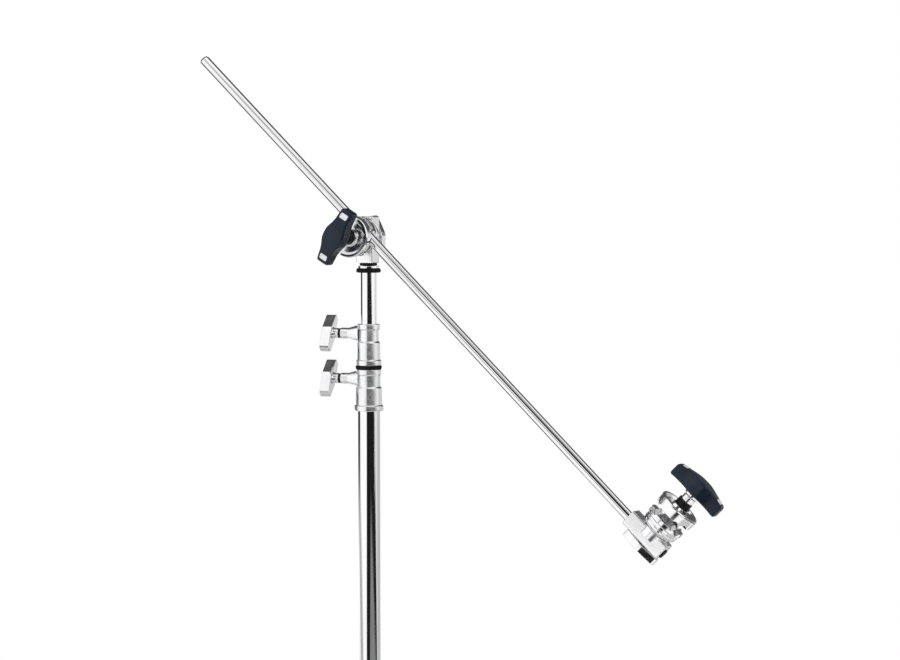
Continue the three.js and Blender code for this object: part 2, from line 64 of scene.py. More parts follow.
GAP = 0.3  # between pieces that touch
FLOOR = -85  # the column's foot is the origin, and the legs hold it off the floor
FLOOR_R = 1200
COLUMN_R = 17.5
MIDDLE_R = 15
TOP_R = 12.5
TUBE_WALL = 1.5
ROD_R = 8  # the stud and the arm
ARM_WALL = 2
ARM_BACK = -380  # the arm's ends, from where the first head holds it
ARM_FRONT = 676

# collars and lock screws
COLLAR_HEIGHT = 64
SCREW_HEIGHT = 49  # the screw, above the collar's foot
SCREW_R = 5
SCREW_PITCH = 1.5
SCREW_GRIP = 6.5  # how far a screw is set into its knob
BOSS_R = 8.7
BOSS_END = 44
WASHER_END = 47.4
KNOB_FACE = 57
KNOB_TURN = 39  # degrees
COLLARS = {
    "lower": {"riser_r": MIDDLE_R, "flange_r": 22.8, "barrel_r": 20.4, "neck_r": 18.2, "lip_r": 19.4},
    "upper": {"riser_r": TOP_R, "flange_r": 19.7, "barrel_r": 17.9, "neck_r": 15.6, "lip_r": 17.6},
}

# base
LEG_R = 12.5
LEG_WALL = 1.8
LEG_REACH = 470
LEG_LEVEL = 96  # how far a leg runs level before its first bend
LEG_BEND = 55
LEG_STEEP = 52  # degrees
LEG_SHALLOW = 5
FOOT_R = 15
HUB_HALF = 20
SPRING_WIRE = 2
LEG_YAW = {"top": -28, "middle": 92, "lower": -148}  # degrees
HUB_HEIGHT = {"top": 168, "middle": 122, "lower": 76}

# stud and grip heads: a head's sizes run from its bolt's crossing with the stud, outward on the bolt
BUMPER_HEIGHT = 6.5
FLANGE_HEIGHT = 3.8
SOCKET_BELOW = 42
SOCKET_ABOVE = 30
BODY_BACK = -10.5
BODY_FRONT = 16
BODY_HALF_WIDTH = 15
DISC_R = 30.5
JAW_INNER = 40
JAW_OUTER = 51
OUTER_DISC_BACK = 68
BEARING_END = 79
HUB_END = 93
HANDLE_END = 118
HANDLE_HALF = 45
BOLT_R = 6
BOLT_PITCH = 1.75
ARM_OFFSET = 16  # the arm's groove, from the bolt
JAW_WIRE = 0.6
JAW_SPRING_R = 7.2

SIDES = 72  # round the larger turned pieces
SMALL_SIDES = 40
SHARP = math.radians(32)  # edges turning more than this stay crisp


# ---------- outlines ----------

def soften(points, radius, closed=False, steps=4):
    """The outline with its corners rounded. A point's third number is a radius of its own."""
    outline = []
    for i, point in enumerate(points):
        here = Vector(point[:2])
        own = point[2] if len(point) > 2 else radius
        at_end = not closed and i in (0, len(points) - 1)
        if at_end or own == 0:
            outline.append(here)
            continue
        before = Vector(points[i - 1][:2]) - here
        after = Vector(points[(i + 1) % len(points)][:2]) - here
        turn = math.pi - before.angle(after)
        reach = min(own * math.tan(turn / 2), 0.45 * before.length, 0.45 * after.length)
        start = here + before.normalized() * reach
        end = here + after.normalized() * reach
        for k in range(steps + 1):
            t = k / steps
            outline.append(start.lerp(here, t).lerp(here.lerp(end, t), t))
    return outline


def rectangle(half_x, half_y, corner):
    """A rectangle round the origin with rounded corners."""
    corners = [[-half_x, -half_y], [half_x, -half_y], [half_x, half_y], [-half_x, half_y]]
    return soften(corners, corner, True)


def smooth_height(points, at):
    """The height, at a place, of a smooth curve through (place, height) points in order."""
    last = len(points) - 1
    at = min(max(at, points[0][0]), points[last][0])
    i = min(sum(1 for place, _ in points[1:] if place < at), last - 1)

    def slope(k):
        low, high = points[max(k - 1, 0)], points[min(k + 1, last)]
        return (high[1] - low[1]) / (high[0] - low[0])

    width = points[i + 1][0] - points[i][0]
    t = (at - points[i][0]) / width
    ends = points[i][1] * (2 * t ** 3 - 3 * t ** 2 + 1) + points[i + 1][1] * (3 * t ** 2 - 2 * t ** 3)
    lean = slope(i) * (t ** 3 - 2 * t ** 2 + t) + slope(i + 1) * (t ** 3 - t ** 2)
    return ends + lean * width


# ---------- mesh helpers: a shape is a bmesh in millimetres ----------

def skin(loops, closed=False):
    """A shell through the loops of points, capped at both ends or closed on itself."""
    shape = bmesh.new()
    rows = [[shape.verts.new(point) for point in loop] for loop in loops]
    count = len(rows[0])
    following = rows[1:] + rows[:1] if closed else rows[1:]
    for low, high in zip(rows, following):
        for i in range(count):
            shape.faces.new((low[i], low[(i + 1) % count], high[(i + 1) % count], high[i]))
    if not closed:
        shape.faces.new(list(reversed(rows[0])))
        shape.faces.new(rows[-1])
    return shape


def turned(profile, radius=0.5, sides=SIDES, steps=4):
    """A shape turned about Z from [radius, height] points.

    One that starts on the axis is solid, and its flat ends are the caps of the shell."""
    ring = profile[0][0] > 0
    outline = soften(profile, radius, closed=ring, steps=steps)
    angles = [2 * math.pi * k / sides for k in range(sides)]
    loops = [[(r * math.cos(a), r * math.sin(a), z) for a in angles] for r, z in outline]
    if ring:
        return skin(loops, closed=True)
    return skin(loops[1:-1])


def tube(outer, inner, low, high, radius=0.5, sides=SIDES):
    return turned([[inner, low], [outer, low], [outer, high], [inner, high]], radius, sides)


def prism(outline, low, high, edge, steps=3):
    """A flat outline pushed along Z, with its edges rounded."""
    shape = skin([[(x, y, z) for x, y in outline] for z in (low, high)])
    bmesh.ops.recalc_face_normals(shape, faces=shape.faces)
    if edge > 0:
        rim = [e for e in shape.edges if abs(e.verts[0].co.z - e.verts[1].co.z) < 1e-6]
        bmesh.ops.bevel(shape, geom=rim, offset=edge, segments=steps, profile=0.5,
                        affect="EDGES", clamp_overlap=True)
    return shape


def swept(path, section):
    """A shell that carries a flat section along a path of points, without twisting it."""
    points = [Vector(p) for p in path]
    tangents = [
        (points[min(i + 1, len(points) - 1)] - points[max(i - 1, 0)]).normalized()
        for i in range(len(points))
    ]
    side = tangents[0].orthogonal().normalized()
    loops = []
    for point, tangent in zip(points, tangents):
        side = (side - tangent * side.dot(tangent)).normalized()
        across = tangent.cross(side)
        loops.append([point + side * u + across * v for u, v in section])
    return skin(loops)


def round_section(radius, sides):
    """A circle for swept."""
    angles = [2 * math.pi * k / sides for k in range(sides)]
    return [(radius * math.cos(a), radius * math.sin(a)) for a in angles]


def moved(shape, *steps):
    """The shape after each matrix in turn."""
    for matrix in steps:
        bmesh.ops.transform(shape, matrix=matrix, verts=shape.verts)
    return shape


def shift(x=0, y=0, z=0):
    return Matrix.Translation((x, y, z))


def turn(degrees, axis):
    return Matrix.Rotation(math.radians(degrees), 4, axis)


ALONG_X = turn(90, "Y")  # lays a piece made along Z on X
FACING_Y = turn(90, "X")  # stands an outline up, its second axis on Z
FACING_X = turn(90, "Z") @ turn(90, "X")  # the same, seen along X


def merged(*shapes):
    """Several shells as one shape."""
    whole = bmesh.new()
    for shape in shapes:
        part = bpy.data.meshes.new("part")
        shape.to_mesh(part)
        whole.from_mesh(part)
        shape.free()
        bpy.data.meshes.remove(part)
    return whole


def round_cutter(radius, low, high, sides=SIDES):
    """A plain round solid about Z, which cuts a hole."""
    return turned([[0, low], [radius, low], [radius, high], [0, high]], 0, sides)


def boolean(shape, tool, operation):
    """The shape after a boolean with the tool."""
    holders = []
    for source in (shape, tool):
        bmesh.ops.recalc_face_normals(source, faces=source.faces)
        mesh = bpy.data.meshes.new("holder")
        source.to_mesh(mesh)
        source.free()
        holder = bpy.data.objects.new("holder", mesh)
        bpy.context.scene.collection.objects.link(holder)
        holders.append(holder)
    modifier = holders[0].modifiers.new("boolean", "BOOLEAN")
    modifier.object = holders[1]
    modifier.operation = operation
    modifier.solver = "EXACT"
    result = bmesh.new()
    result.from_object(holders[0], bpy.context.evaluated_depsgraph_get())
    for holder in holders:
        mesh = holder.data
        bpy.data.objects.remove(holder)
        bpy.data.meshes.remove(mesh)
    return result


def bored(shape, radius, low, high, sides=SIDES):
    """The shape with a round hole along Z."""
    return boolean(shape, round_cutter(radius, low, high, sides), "DIFFERENCE")


# ---------- placing pieces ----------

RECORD = frame["record"]
BODY_OF = {node: body for body, nodes in RECORD["behaviour"]["bodies"].items() for node in nodes}
SLOT_OF = {part["node"]: part["material_slot"] for part in RECORD["subparts"]}


def local_frame(x_axis, z_axis, origin_m):
    """The matrix from a piece's own millimetres to the frame's metres."""
    x = Vector(x_axis).normalized()
    z = Vector(z_axis)
    z = (z - x * x.dot(z)).normalized()
    rotation = Matrix((x, z.cross(x), z)).transposed().to_4x4()
    return Matrix.Translation(origin_m) @ rotation @ Matrix.Scale(MM, 4)


STANDING = Matrix.Scale(MM, 4)


def place(name, node, shape, matrix, material, rides=True):
    """The finished piece in the given material, riding on its node's body unless rides is off."""
    bmesh.ops.transform(shape, matrix=matrix, verts=shape.verts)
    bmesh.ops.recalc_face_normals(shape, faces=shape.faces)
    mesh = bpy.data.meshes.new(name)
    shape.to_mesh(mesh)
    shape.free()
    mesh.shade_smooth()
    mesh.set_sharp_from_angle(angle=SHARP)
    mesh.materials.append(material)
    piece = bpy.data.objects.new(name, mesh)
    bpy.context.scene.collection.objects.link(piece)
    even = piece.modifiers.new("even normals", "WEIGHTED_NORMAL")
    even.keep_sharp = True
    if rides:
        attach(piece, BODY_OF[node])
    return piece


def remake(node, shape, matrix):
    """A fine piece in place of a CAD node."""
    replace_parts(place(f"visual_{node}", node, shape, matrix, finish_of(node)), node)


# ---------- materials ----------

def new_material(name, color, metallic, roughness):
    """A node material, with its main shader."""
    material = bpy.data.materials.new(name)
    material.use_nodes = True
    shader = material.node_tree.nodes["Principled BSDF"]
    shader.inputs["Base Color"].default_value = (*color, 1)
    shader.inputs["Metallic"].default_value = metallic
    shader.inputs["Roughness"].default_value = roughness
    material.diffuse_color = (*color, 1)
    return material, shader


FIELD_LOW, FIELD_HIGH = 0.35, 0.65  # the part of a noise field's range that is put to use


def noise(material, scale, detail, stretch=(1, 1, 1)):
    """A noise field over the object's own coordinates, which are metres."""
    nodes, links = material.node_tree.nodes, material.node_tree.links
    coordinates = nodes.new("ShaderNodeTexCoord")
    mapping = nodes.new("ShaderNodeMapping")
    mapping.inputs["Scale"].default_value = stretch
    field = nodes.new("ShaderNodeTexNoise")
    field.inputs["Scale"].default_value = scale
    field.inputs["Detail"].default_value = detail
    links.new(coordinates.outputs["Object"], mapping.inputs["Vector"])
    links.new(mapping.outputs["Vector"], field.inputs["Vector"])
    return field.outputs["Fac"]


def vary(material, shader, field, name, low, high):
    """Lets a field move one of the shader's numbers between two values."""
    nodes, links = material.node_tree.nodes, material.node_tree.links
    spread = nodes.new("ShaderNodeMapRange")
    spread.inputs["From Min"].default_value = FIELD_LOW
    spread.inputs["From Max"].default_value = FIELD_HIGH
    spread.inputs["To Min"].default_value = low
    spread.inputs["To Max"].default_value = high
    links.new(field, spread.inputs["Value"])
    links.new(spread.outputs["Result"], shader.inputs[name])


def tint(material, shader, field, dark, light):
    """Lets a field move the base colour between two colours."""
    nodes, links = material.node_tree.nodes, material.node_tree.links
    ramp = nodes.new("ShaderNodeValToRGB")
    ramp.color_ramp.elements[0].position = FIELD_LOW
    ramp.color_ramp.elements[0].color = (*dark, 1)
    ramp.color_ramp.elements[1].position = FIELD_HIGH
    ramp.color_ramp.elements[1].color = (*light, 1)
    links.new(field, ramp.inputs["Fac"])
    links.new(ramp.outputs["Color"], shader.inputs["Base Color"])


def bump(material, shader, field, strength, depth_mm):
    """Lets a field raise the surface by up to a depth."""
    nodes, links = material.node_tree.nodes, material.node_tree.links
    relief = nodes.new("ShaderNodeBump")
    relief.inputs["Strength"].default_value = strength
    relief.inputs["Distance"].default_value = depth_mm * MM
    links.new(field, relief.inputs["Height"])
    links.new(relief.outputs["Normal"], shader.inputs["Normal"])


def chrome():
    """Mirror plate on drawn tube: faint drawing lines, and wipe marks in the gloss."""
    material, shader = new_material("chrome", (0.86, 0.86, 0.87), 1.0, 0.06)
    wipes = noise(material, 22, 4)
    vary(material, shader, wipes, "Roughness", 0.035, 0.085)
    tint(material, shader, noise(material, 9, 2), (0.82, 0.82, 0.83), (0.88, 0.88, 0.89))
    bump(material, shader, noise(material, 700, 2, (1, 1, 0.05)), 0.02, 0.004)
    return material


def satin_casting():
    """Plated casting, tumbled smooth: an even soft gloss with a fine grain."""
    material, shader = new_material("satin_casting", (0.86, 0.86, 0.87), 1.0, 0.24)
    vary(material, shader, noise(material, 120, 4), "Roughness", 0.19, 0.27)
    tint(material, shader, noise(material, 30, 3), (0.84, 0.84, 0.85), (0.88, 0.88, 0.89))
    bump(material, shader, noise(material, 1500, 3), 0.06, 0.02)
    return material


def polished_casting():
    """Polished and plated casting: nearly a mirror, with the casting's slow waves under it."""
    material, shader = new_material("polished_casting", (0.85, 0.85, 0.86), 1.0, 0.14)
    vary(material, shader, noise(material, 60, 4), "Roughness", 0.09, 0.2)
    tint(material, shader, noise(material, 25, 3), (0.8, 0.8, 0.81), (0.88, 0.88, 0.89))
    bump(material, shader, noise(material, 160, 2), 0.06, 0.04)
    return material


def plain_steel():
    """Zinc-plated steel with the marks of turning."""
    material, shader = new_material("plain_steel", (0.62, 0.62, 0.63), 1.0, 0.32)
    vary(material, shader, noise(material, 300, 3), "Roughness", 0.24, 0.42)
    tint(material, shader, noise(material, 80, 3), (0.54, 0.54, 0.56), (0.68, 0.68, 0.68))
    bump(material, shader, noise(material, 2500, 2), 0.15, 0.02)
    return material


def brass():
    """Turned brass, slightly dulled."""
    material, shader = new_material("brass", (0.7, 0.52, 0.24), 1.0, 0.3)
    vary(material, shader, noise(material, 200, 3), "Roughness", 0.22, 0.4)
    tint(material, shader, noise(material, 60, 3), (0.6, 0.43, 0.19), (0.74, 0.56, 0.27))
    bump(material, shader, noise(material, 2000, 2), 0.1, 0.02)
    return material


def black_rubber():
    """Moulded rubber: matt, faintly dusty, with a fine skin."""
    material, shader = new_material("black_rubber", (0.008, 0.008, 0.008), 0.0, 0.7)
    vary(material, shader, noise(material, 150, 4), "Roughness", 0.55, 0.8)
    tint(material, shader, noise(material, 45, 4), (0.005, 0.005, 0.005), (0.014, 0.014, 0.014))
    bump(material, shader, noise(material, 1800, 3), 0.3, 0.05)
    shader.inputs["Specular IOR Level"].default_value = 0.15
    return material


def dark_plastic():
    """Blue-black moulded plastic with a spark-eroded grain and rubbed high spots."""
    material, shader = new_material("dark_plastic", (0.005, 0.012, 0.027), 0.0, 0.34)
    vary(material, shader, noise(material, 90, 4), "Roughness", 0.28, 0.4)
    tint(material, shader, noise(material, 35, 3), (0.003, 0.009, 0.021), (0.007, 0.016, 0.034))
    bump(material, shader, noise(material, 1400, 4), 0.35, 0.06)
    shader.inputs["Specular IOR Level"].default_value = 0.3
    return material


def black_nylon():
    """Turned or moulded nylon: a low waxy gloss."""
    material, shader = new_material("black_nylon", (0.01, 0.01, 0.011), 0.0, 0.5)
    vary(material, shader, noise(material, 110, 3), "Roughness", 0.42, 0.6)
    tint(material, shader, noise(material, 50, 3), (0.007, 0.007, 0.008), (0.016, 0.016, 0.017))
    bump(material, shader, noise(material, 1200, 2), 0.15, 0.03)
    shader.inputs["Specular IOR Level"].default_value = 0.25
    return material


def white_inlay():
    """The pale inlays in the handles' ends."""
    material, shader = new_material("white_inlay", (0.82, 0.83, 0.84), 0.0, 0.35)
    vary(material, shader, noise(material, 200, 3), "Roughness", 0.28, 0.45)
    tint(material, shader, noise(material, 120, 3), (0.76, 0.77, 0.78), (0.86, 0.87, 0.88))
    bump(material, shader, noise(material, 1500, 2), 0.1, 0.02)
    return material


MATERIALS = {
    "chrome_tube": chrome(),
    "satin_casting": satin_casting(),
    "polished_casting": polished_casting(),
    "plain_steel": plain_steel(),
    "brass_shoe": brass(),
    "black_rubber": black_rubber(),
    "dark_plastic": dark_plastic(),
    "black_nylon": black_nylon(),
}
INLAY = white_inlay()


def finish_of(node):
    return MATERIALS[SLOT_OF[node]]


# ---------- column and risers ----------

def height_of(node, end):
    """The lowest (0) or highest (1) point of a node, in millimetres."""
    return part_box(node)[end].z / MM


def plain_tube(node, outer):
    """A drawn tube with its cut ends rounded over."""
    low, high = height_of(node, 0), height_of(node, 1)
    remake(node, tube(outer, outer - TUBE_WALL, low, high, 0.6, 96), STANDING)


def foot_cap():
    inner = COLUMN_R - TUBE_WALL - GAP
    shape = turned([
        [0, 0], [20, 0, 0.4], [22, 2, 1.5], [22, 6], [inner, 6, 0.2], [inner, 22, 1], [0, 22],
    ], 0.6)
    remake("column_foot_cap", shape, STANDING)


def ring_piece(node, inner, profile):
    """A ring on the column's axis: profile is [radius, height above the node's foot]."""
    low = height_of(node, 0)
    outline = [[inner, profile[0][1]], *profile, [inner, profile[-1][1]]]
    shape = moved(turned(outline, 0.6), shift(z=low))
    remake(node, shape, STANDING)


def cushion_ring():
    """The grooved rubber ring between the two collars."""
    profile = [[19.4, 0], [20.4, 1.4], [20.4, 2.1], [19.9, 2.75], [20.4, 3.4], [20.4, 4.1], [19.4, 5.5]]
    ring_piece("collar_cushion_ring", MIDDLE_R + GAP, profile)


def top_stud():
    """The stud: flange and grooved pin, with a lead-in at its tip."""
    low, high = height_of("top_stud", 0), height_of("top_stud", 1)
    flange = low + 40
    plug = TOP_R - TUBE_WALL - GAP
    waist = high - 20
    shape = turned([
        [0, low], [plug, low], [plug, flange, 0.2], [16.5, flange, 0.4],
        [16.5, flange + FLANGE_HEIGHT, 0.8], [ROD_R, flange + FLANGE_HEIGHT, 0.6],
        [ROD_R, waist - 8], [ROD_R - 1.5, waist - 6],
        [ROD_R - 1.5, waist + 6], [ROD_R, waist + 8], [ROD_R, high - 1.5], [ROD_R - 1.5, high],
        [0, high],
    ], 0.5)
    remake("top_stud", shape, STANDING)


def column_and_risers():
    plain_tube("column_tube", COLUMN_R)
    plain_tube("middle_riser_tube", MIDDLE_R)
    plain_tube("top_riser_tube", TOP_R)
    foot_cap()
    cushion_ring()
    ring_piece("top_bumper", TOP_R + GAP, [
        [17.5, 0], [19, 1.6, 1.2], [19, BUMPER_HEIGHT - 1.6, 1.2], [17.5, BUMPER_HEIGHT]])
    # The black washer on the stud is also painted shade: it stands in for the shaded gap between the stud's flange
    # and the head's socket.
    ring_piece("top_stud_washer", ROD_R + GAP, [[13.5, 0, 1.2], [13.5, 3.5, 1.2]])
    for name in ("lower_hub_washer", "upper_hub_washer"):
        thick = height_of(name, 1) - height_of(name, 0)
        ring_piece(name, COLUMN_R + GAP, [[25, 0, 1], [25, thick, 1]])
    top_stud()


# ---------- base ----------

def helix(radius, turns, low, high, steps_a_turn=24):
    """Points round Z: the first and last half turns lie flat, as on a ground spring."""
    steps = round(turns * steps_a_turn)
    points = []
    for i in range(steps + 1):
        around = turns * i / steps
        climb = min(max((around - 0.5) / (turns - 1), 0), 1)
        angle = 2 * math.pi * around
        points.append((radius * math.cos(angle), radius * math.sin(angle), low + (high - low) * climb))
    return points


def spring(radius, turns, low, high, wire, sides):
    """A coil spring about Z, with its wire's centre between two heights."""
    return swept(helix(radius, turns, low, high), round_section(wire, sides))


def base_spring():
    low, high = height_of("base_spring", 0), height_of("base_spring", 1)
    wire = SPRING_WIRE
    shape = spring(20.6, 4.5, low + wire, high - wire, wire, 16)
    remake("base_spring", shape, STANDING)


def leg_path(level):
    """The leg's centreline: level, then a steep slope, then nearly level to the foot."""
    height = HUB_HEIGHT[level]
    foot = FLOOR + LEG_R + 3.5
    steep, shallow = math.radians(LEG_STEEP), math.radians(LEG_SHALLOW)
    bend = LEG_BEND
    down_x, down_z = LEG_LEVEL + bend * math.sin(steep), bend * (1 - math.cos(steep))
    up_x = bend * (math.sin(steep) - math.sin(shallow))
    up_z = bend * (math.cos(shallow) - math.cos(steep))
    run = LEG_REACH - down_x - up_x
    left = height - foot - down_z - up_z - run * math.tan(shallow)
    slope = left / (math.sin(steep) - math.cos(steep) * math.tan(shallow))
    turn_x = down_x + slope * math.cos(steep) + bend * math.sin(steep)
    turn_z = height - down_z - slope * math.sin(steep) + bend * math.cos(steep)
    points = [(28, height), (62, height)]
    bends = (
        (LEG_LEVEL, height - bend, 90, 90 - LEG_STEEP),
        (turn_x, turn_z, 270 - LEG_STEEP, 270 - LEG_SHALLOW),
    )
    steps = 14
    for centre_x, centre_z, start, end in bends:
        for k in range(steps + 1):
            angle = math.radians(start + (end - start) * k / steps)
            points.append((centre_x + bend * math.cos(angle), centre_z + bend * math.sin(angle)))
    points.append((LEG_REACH, foot))
    return [Vector((x, 0, z)) for x, z in points]


def leg_tube(path):
    """A bent tube, open at its foot end, with the wall showing."""
    solid = swept(path, round_section(LEG_R, 48))
    before, tip = path[-2:]
    bore_path = [before.lerp(tip, 0.9), tip + (tip - before).normalized()]
    return boolean(solid, swept(bore_path, round_section(LEG_R - LEG_WALL, 48)), "DIFFERENCE")


def leg_foot(path):
    """A ribbed rubber cap over the leg's end, with a flat pad under it."""
    tip = path[-1]
    inward = (path[-2] - tip).normalized()
    profile = [[0, -6], [FOOT_R - 2, -6, 2], [FOOT_R, -4, 2], [FOOT_R, 2]]
    for rib in range(4):
        low = 8 + 7 * rib
        profile += [[FOOT_R, low, 0.6], [FOOT_R - 0.9, low + 1, 0.5], [FOOT_R - 0.9, low + 3, 0.5],
                    [FOOT_R, low + 4, 0.6]]
    profile += [[FOOT_R, 40, 0.8], [FOOT_R - 0.8, 42, 0.8], [0, 42]]
    sleeve = turned(profile, 0.5, 48)
    aim = inward.to_track_quat("Z", "Y").to_matrix().to_4x4()
    moved(sleeve, Matrix.Translation(tip) @ aim)
    pad = prism(rectangle(16, 10, 4), FLOOR, FLOOR + 9, 0.8)
    moved(pad, shift(x=tip.x - 14))
    return merged(sleeve, pad)


def leg_hub():
    """The cast ring round the column with its leg socket, a rib under it and a set screw."""
    hole = COLUMN_R + GAP
    ring = tube(27, hole, -HUB_HALF, HUB_HALF, 1.6)
    socket = turned([
        [0, 14], [21.5, 14], [20, 22, 4], [16.5, 44, 8], [16.5, 66, 1.2], [LEG_R + 0.2, 66, 0.4],
        [LEG_R + 0.2, 64], [0, 64],
    ], 0.6)
    rib = prism(soften([[20, -19], [30, -18.5], [60, -15], [60, 0], [20, 0]], 2, True), -3, 3, 1.2)
    screw = turned([
        [0, 0], [3.6, 0], [3.6, 1.6, 0.5], [1.9, 1.6, 0.2], [1.9, 0.8, 0.2], [0, 0.8],
    ], 0.3, 24)
    placed = (moved(socket, ALONG_X), moved(rib, FACING_Y))
    socket, rib = (bored(shape, hole, -30, 30) for shape in placed)
    return merged(ring, socket, rib, moved(screw, shift(56, 0, 16.2)))


def legs():
    for level, yaw in LEG_YAW.items():
        facing = STANDING @ turn(yaw, "Z")
        path = leg_path(level)
        raised = facing @ shift(z=HUB_HEIGHT[level])
        remake(f"{level}_leg", leg_tube(path), facing)
        remake(f"{level}_leg_foot", leg_foot(path), facing)
        remake(f"{level}_leg_hub", leg_hub(), raised)


# ---------- collars and their lock knobs ----------

def collar_shape(riser_r, flange_r, barrel_r, neck_r, lip_r):
    """Flange, barrel, neck and lip in one turned casting, with the lug and boss for the lock."""
    bore = riser_r + 2.2
    body = turned([
        [bore, 0, 0.4], [flange_r, 0, 1.2], [flange_r, 7.4, 0.9], [barrel_r + 0.2, 9, 0.7],
        [barrel_r, 35, 0.9], [neck_r, 37.5, 0.8], [neck_r, 54.5, 0.8], [lip_r, 56.5, 0.8],
        [lip_r, COLLAR_HEIGHT, 1.1], [bore, COLLAR_HEIGHT, 0.7],
    ], 0.8, 96)
    outline = soften([
        [9, 3], [flange_r - 2, 3, 1], [28.5, 7.5, 6], [34.5, 15, 8], [34, 25, 6], [31, 37, 5],
        [31, 57, 2], [27, 58.5, 3], [lip_r, 62.6, 3], [9, 62.6],
    ], 0.5, True)
    lug = moved(prism(outline, -7.6, 7.6, 2.6, 4), FACING_Y)
    boss = turned([
        [0, 14], [14, 14, 0], [BOSS_R + 1.4, 27, 5], [BOSS_R, 32, 4], [BOSS_R, BOSS_END, 0.9],
        [SCREW_R + 0.2, BOSS_END, 0.3], [SCREW_R + 0.2, BOSS_END - 2], [0, BOSS_END - 2],
    ], 0.6, 48)
    moved(boss, ALONG_X, shift(z=SCREW_HEIGHT))
    lug, boss = (bored(shape, bore, -5, 80) for shape in (lug, boss))
    return merged(body, lug, boss)


def bar_section(back, front, half_width, corner):
    """A rounded rectangle across a bar: X from its back to its front, Y to each side."""
    corners = [[back, -half_width], [front, -half_width], [front, half_width], [back, half_width]]
    return soften(corners, corner, True, 5)


def bar(half, half_width_at, back_at, front_at, corner, stations):
    """A bar along Z whose width, back and front change along it, with rounded ends."""
    loops = []
    for k in range(stations):
        z = -half * math.cos(math.pi * k / (stations - 1))
        inset = corner * (1 - math.sqrt(max(0, 1 - max(0, (abs(z) - half + corner) / corner) ** 2)))
        section = bar_section(back_at(abs(z)) + inset, front_at(abs(z)) - inset,
                              half_width_at(abs(z)) - inset, corner)
        loops.append([(x, y, z) for x, y in section])
    return skin(loops)


def t_knob(neck_r, neck_start, bar_start, half, thick):
    """A cast T-knob: its neck on X, and across it a lozenge of even thickness, long on Z."""
    right = [[4.5, -half], [6.5, 3 - half], [12.6, -3], [12.6, 3], [6.5, half - 3], [4.5, half]]
    left = [[-across, height] for across, height in reversed(right)]
    handle = prism(soften(right + left, 1.2, True), bar_start, bar_start + thick, 0.9)
    neck = turned([
        [0, neck_start], [neck_r, neck_start, 0.8], [neck_r, neck_start + 4, 0.5],
        [neck_r - 0.5, neck_start + 4.8, 0.4], [neck_r, bar_start - 2, 2], [neck_r + 3, bar_start + 2],
        [0, bar_start + 2],
    ], 0.5, 48)
    return merged(moved(handle, FACING_X), moved(neck, ALONG_X))


def lock_screw(start, end):
    """A threaded screw from its shoe to the knob it is set in."""
    profile = [[0, start], [SCREW_R - 1, start, 0.2]]
    crest = start + 1.2
    while crest < end - 0.5:
        profile += [[SCREW_R, crest, 0.05], [SCREW_R - 0.8, crest + SCREW_PITCH / 2, 0.05]]
        crest += SCREW_PITCH
    profile += [[SCREW_R - 0.8, end], [0, end]]
    return moved(turned(profile, 0.1, 32, 1), ALONG_X)


def collar(prefix, casting):
    """One collar casting with its lock screw, washer and knob, facing out along its lock."""
    lock = JOINTS[f"{prefix}_knob_turn"]
    out = local_frame(lock["axis"], (0, 0, 1), lock["pos_m"])
    base = out @ shift(z=-SCREW_HEIGHT)
    riser_r = casting["riser_r"]
    remake(f"{prefix}_collar", collar_shape(**casting), base)
    shoe_end = riser_r + GAP + 4
    screw = lock_screw(shoe_end + GAP, KNOB_FACE + SCREW_GRIP)
    remake(f"{prefix}_lock_screw", screw, out)
    washer = tube(7.6, SCREW_R + GAP, BOSS_END + GAP, WASHER_END, 0.9, 48)
    remake(f"{prefix}_knob_washer", moved(washer, ALONG_X), out)
    knob = moved(t_knob(8, WASHER_END + GAP, KNOB_FACE, 32, 16), turn(KNOB_TURN, "X"))
    remake(f"{prefix}_t_knob", knob, out)


# ---------- grip heads ----------

def socket_loop(half_width, back, front, z):
    """The head body's outline at one height."""
    corners = [
        [back, -half_width, 5], [front, -half_width, 3],
        [front, half_width, 3], [back, half_width, 5],
    ]
    return [(x, y, z) for x, y in soften(corners, 3, True, 5)]


def head_body():
    """The socket block with its rounded corners, and the turned seat for the jaws."""
    edge, steps = 1.6, 4
    rounding = [math.pi / 2 * k / steps for k in range(steps + 1)]
    low, high = edge - SOCKET_BELOW, SOCKET_ABOVE - edge
    stations = [(edge * (1 - math.sin(a)), low - edge * math.cos(a)) for a in rounding]
    stations += [(edge * (1 - math.cos(a)), high + edge * math.sin(a)) for a in rounding]
    loops = []
    for inset, z in stations:
        loops.append(socket_loop(BODY_HALF_WIDTH - inset, BODY_BACK + inset, BODY_FRONT - inset - 1, z))
    block = skin(loops)
    seat = turned([[0, 2], [20, 2], [20, BODY_FRONT, 1], [0, BODY_FRONT]], 0.6)
    moved(seat, ALONG_X)
    solid = bored(boolean(block, seat, "UNION"), ROD_R + GAP, -80, 80, 48)
    lead_in = turned([
        [0, -SOCKET_BELOW - 1], [ROD_R + 2.3, -SOCKET_BELOW - 1],
        [ROD_R + GAP, -SOCKET_BELOW + 1], [0, -SOCKET_BELOW + 1],
    ], 0, 48)
    return boolean(solid, lead_in, "DIFFERENCE")


def back_boss(end):
    """The short boss at the back of the body that the lock screw runs through."""
    profile = [[SCREW_R + 0.2, 10], [10, 10, 0], [10, 12.4, 1.5], [8.6, 13.4, 0.6], [8.6, end, 0.5],
               [SCREW_R + 0.2, end, 0.3]]
    return moved(turned(profile, 0.5, 48), ALONG_X, turn(180, "Z"))


def groove_bar(face, rod_r, offset, turned_by):
    """A square bar on edge across a jaw's face, which cuts a V-groove for a rod."""
    half_across = math.sqrt(2) * (rod_r + GAP)
    centre = (JAW_INNER + JAW_OUTER) / 2 if rod_r == ROD_R else face
    half_length = DISC_R + 10
    outline = [[0, -half_across], [half_across, 0], [0, half_across], [-half_across, 0]]
    tool = prism(outline, -half_length, half_length, 0)
    return moved(tool, turn(90, "X"), shift(centre, 0, offset), turn(turned_by, "X"))


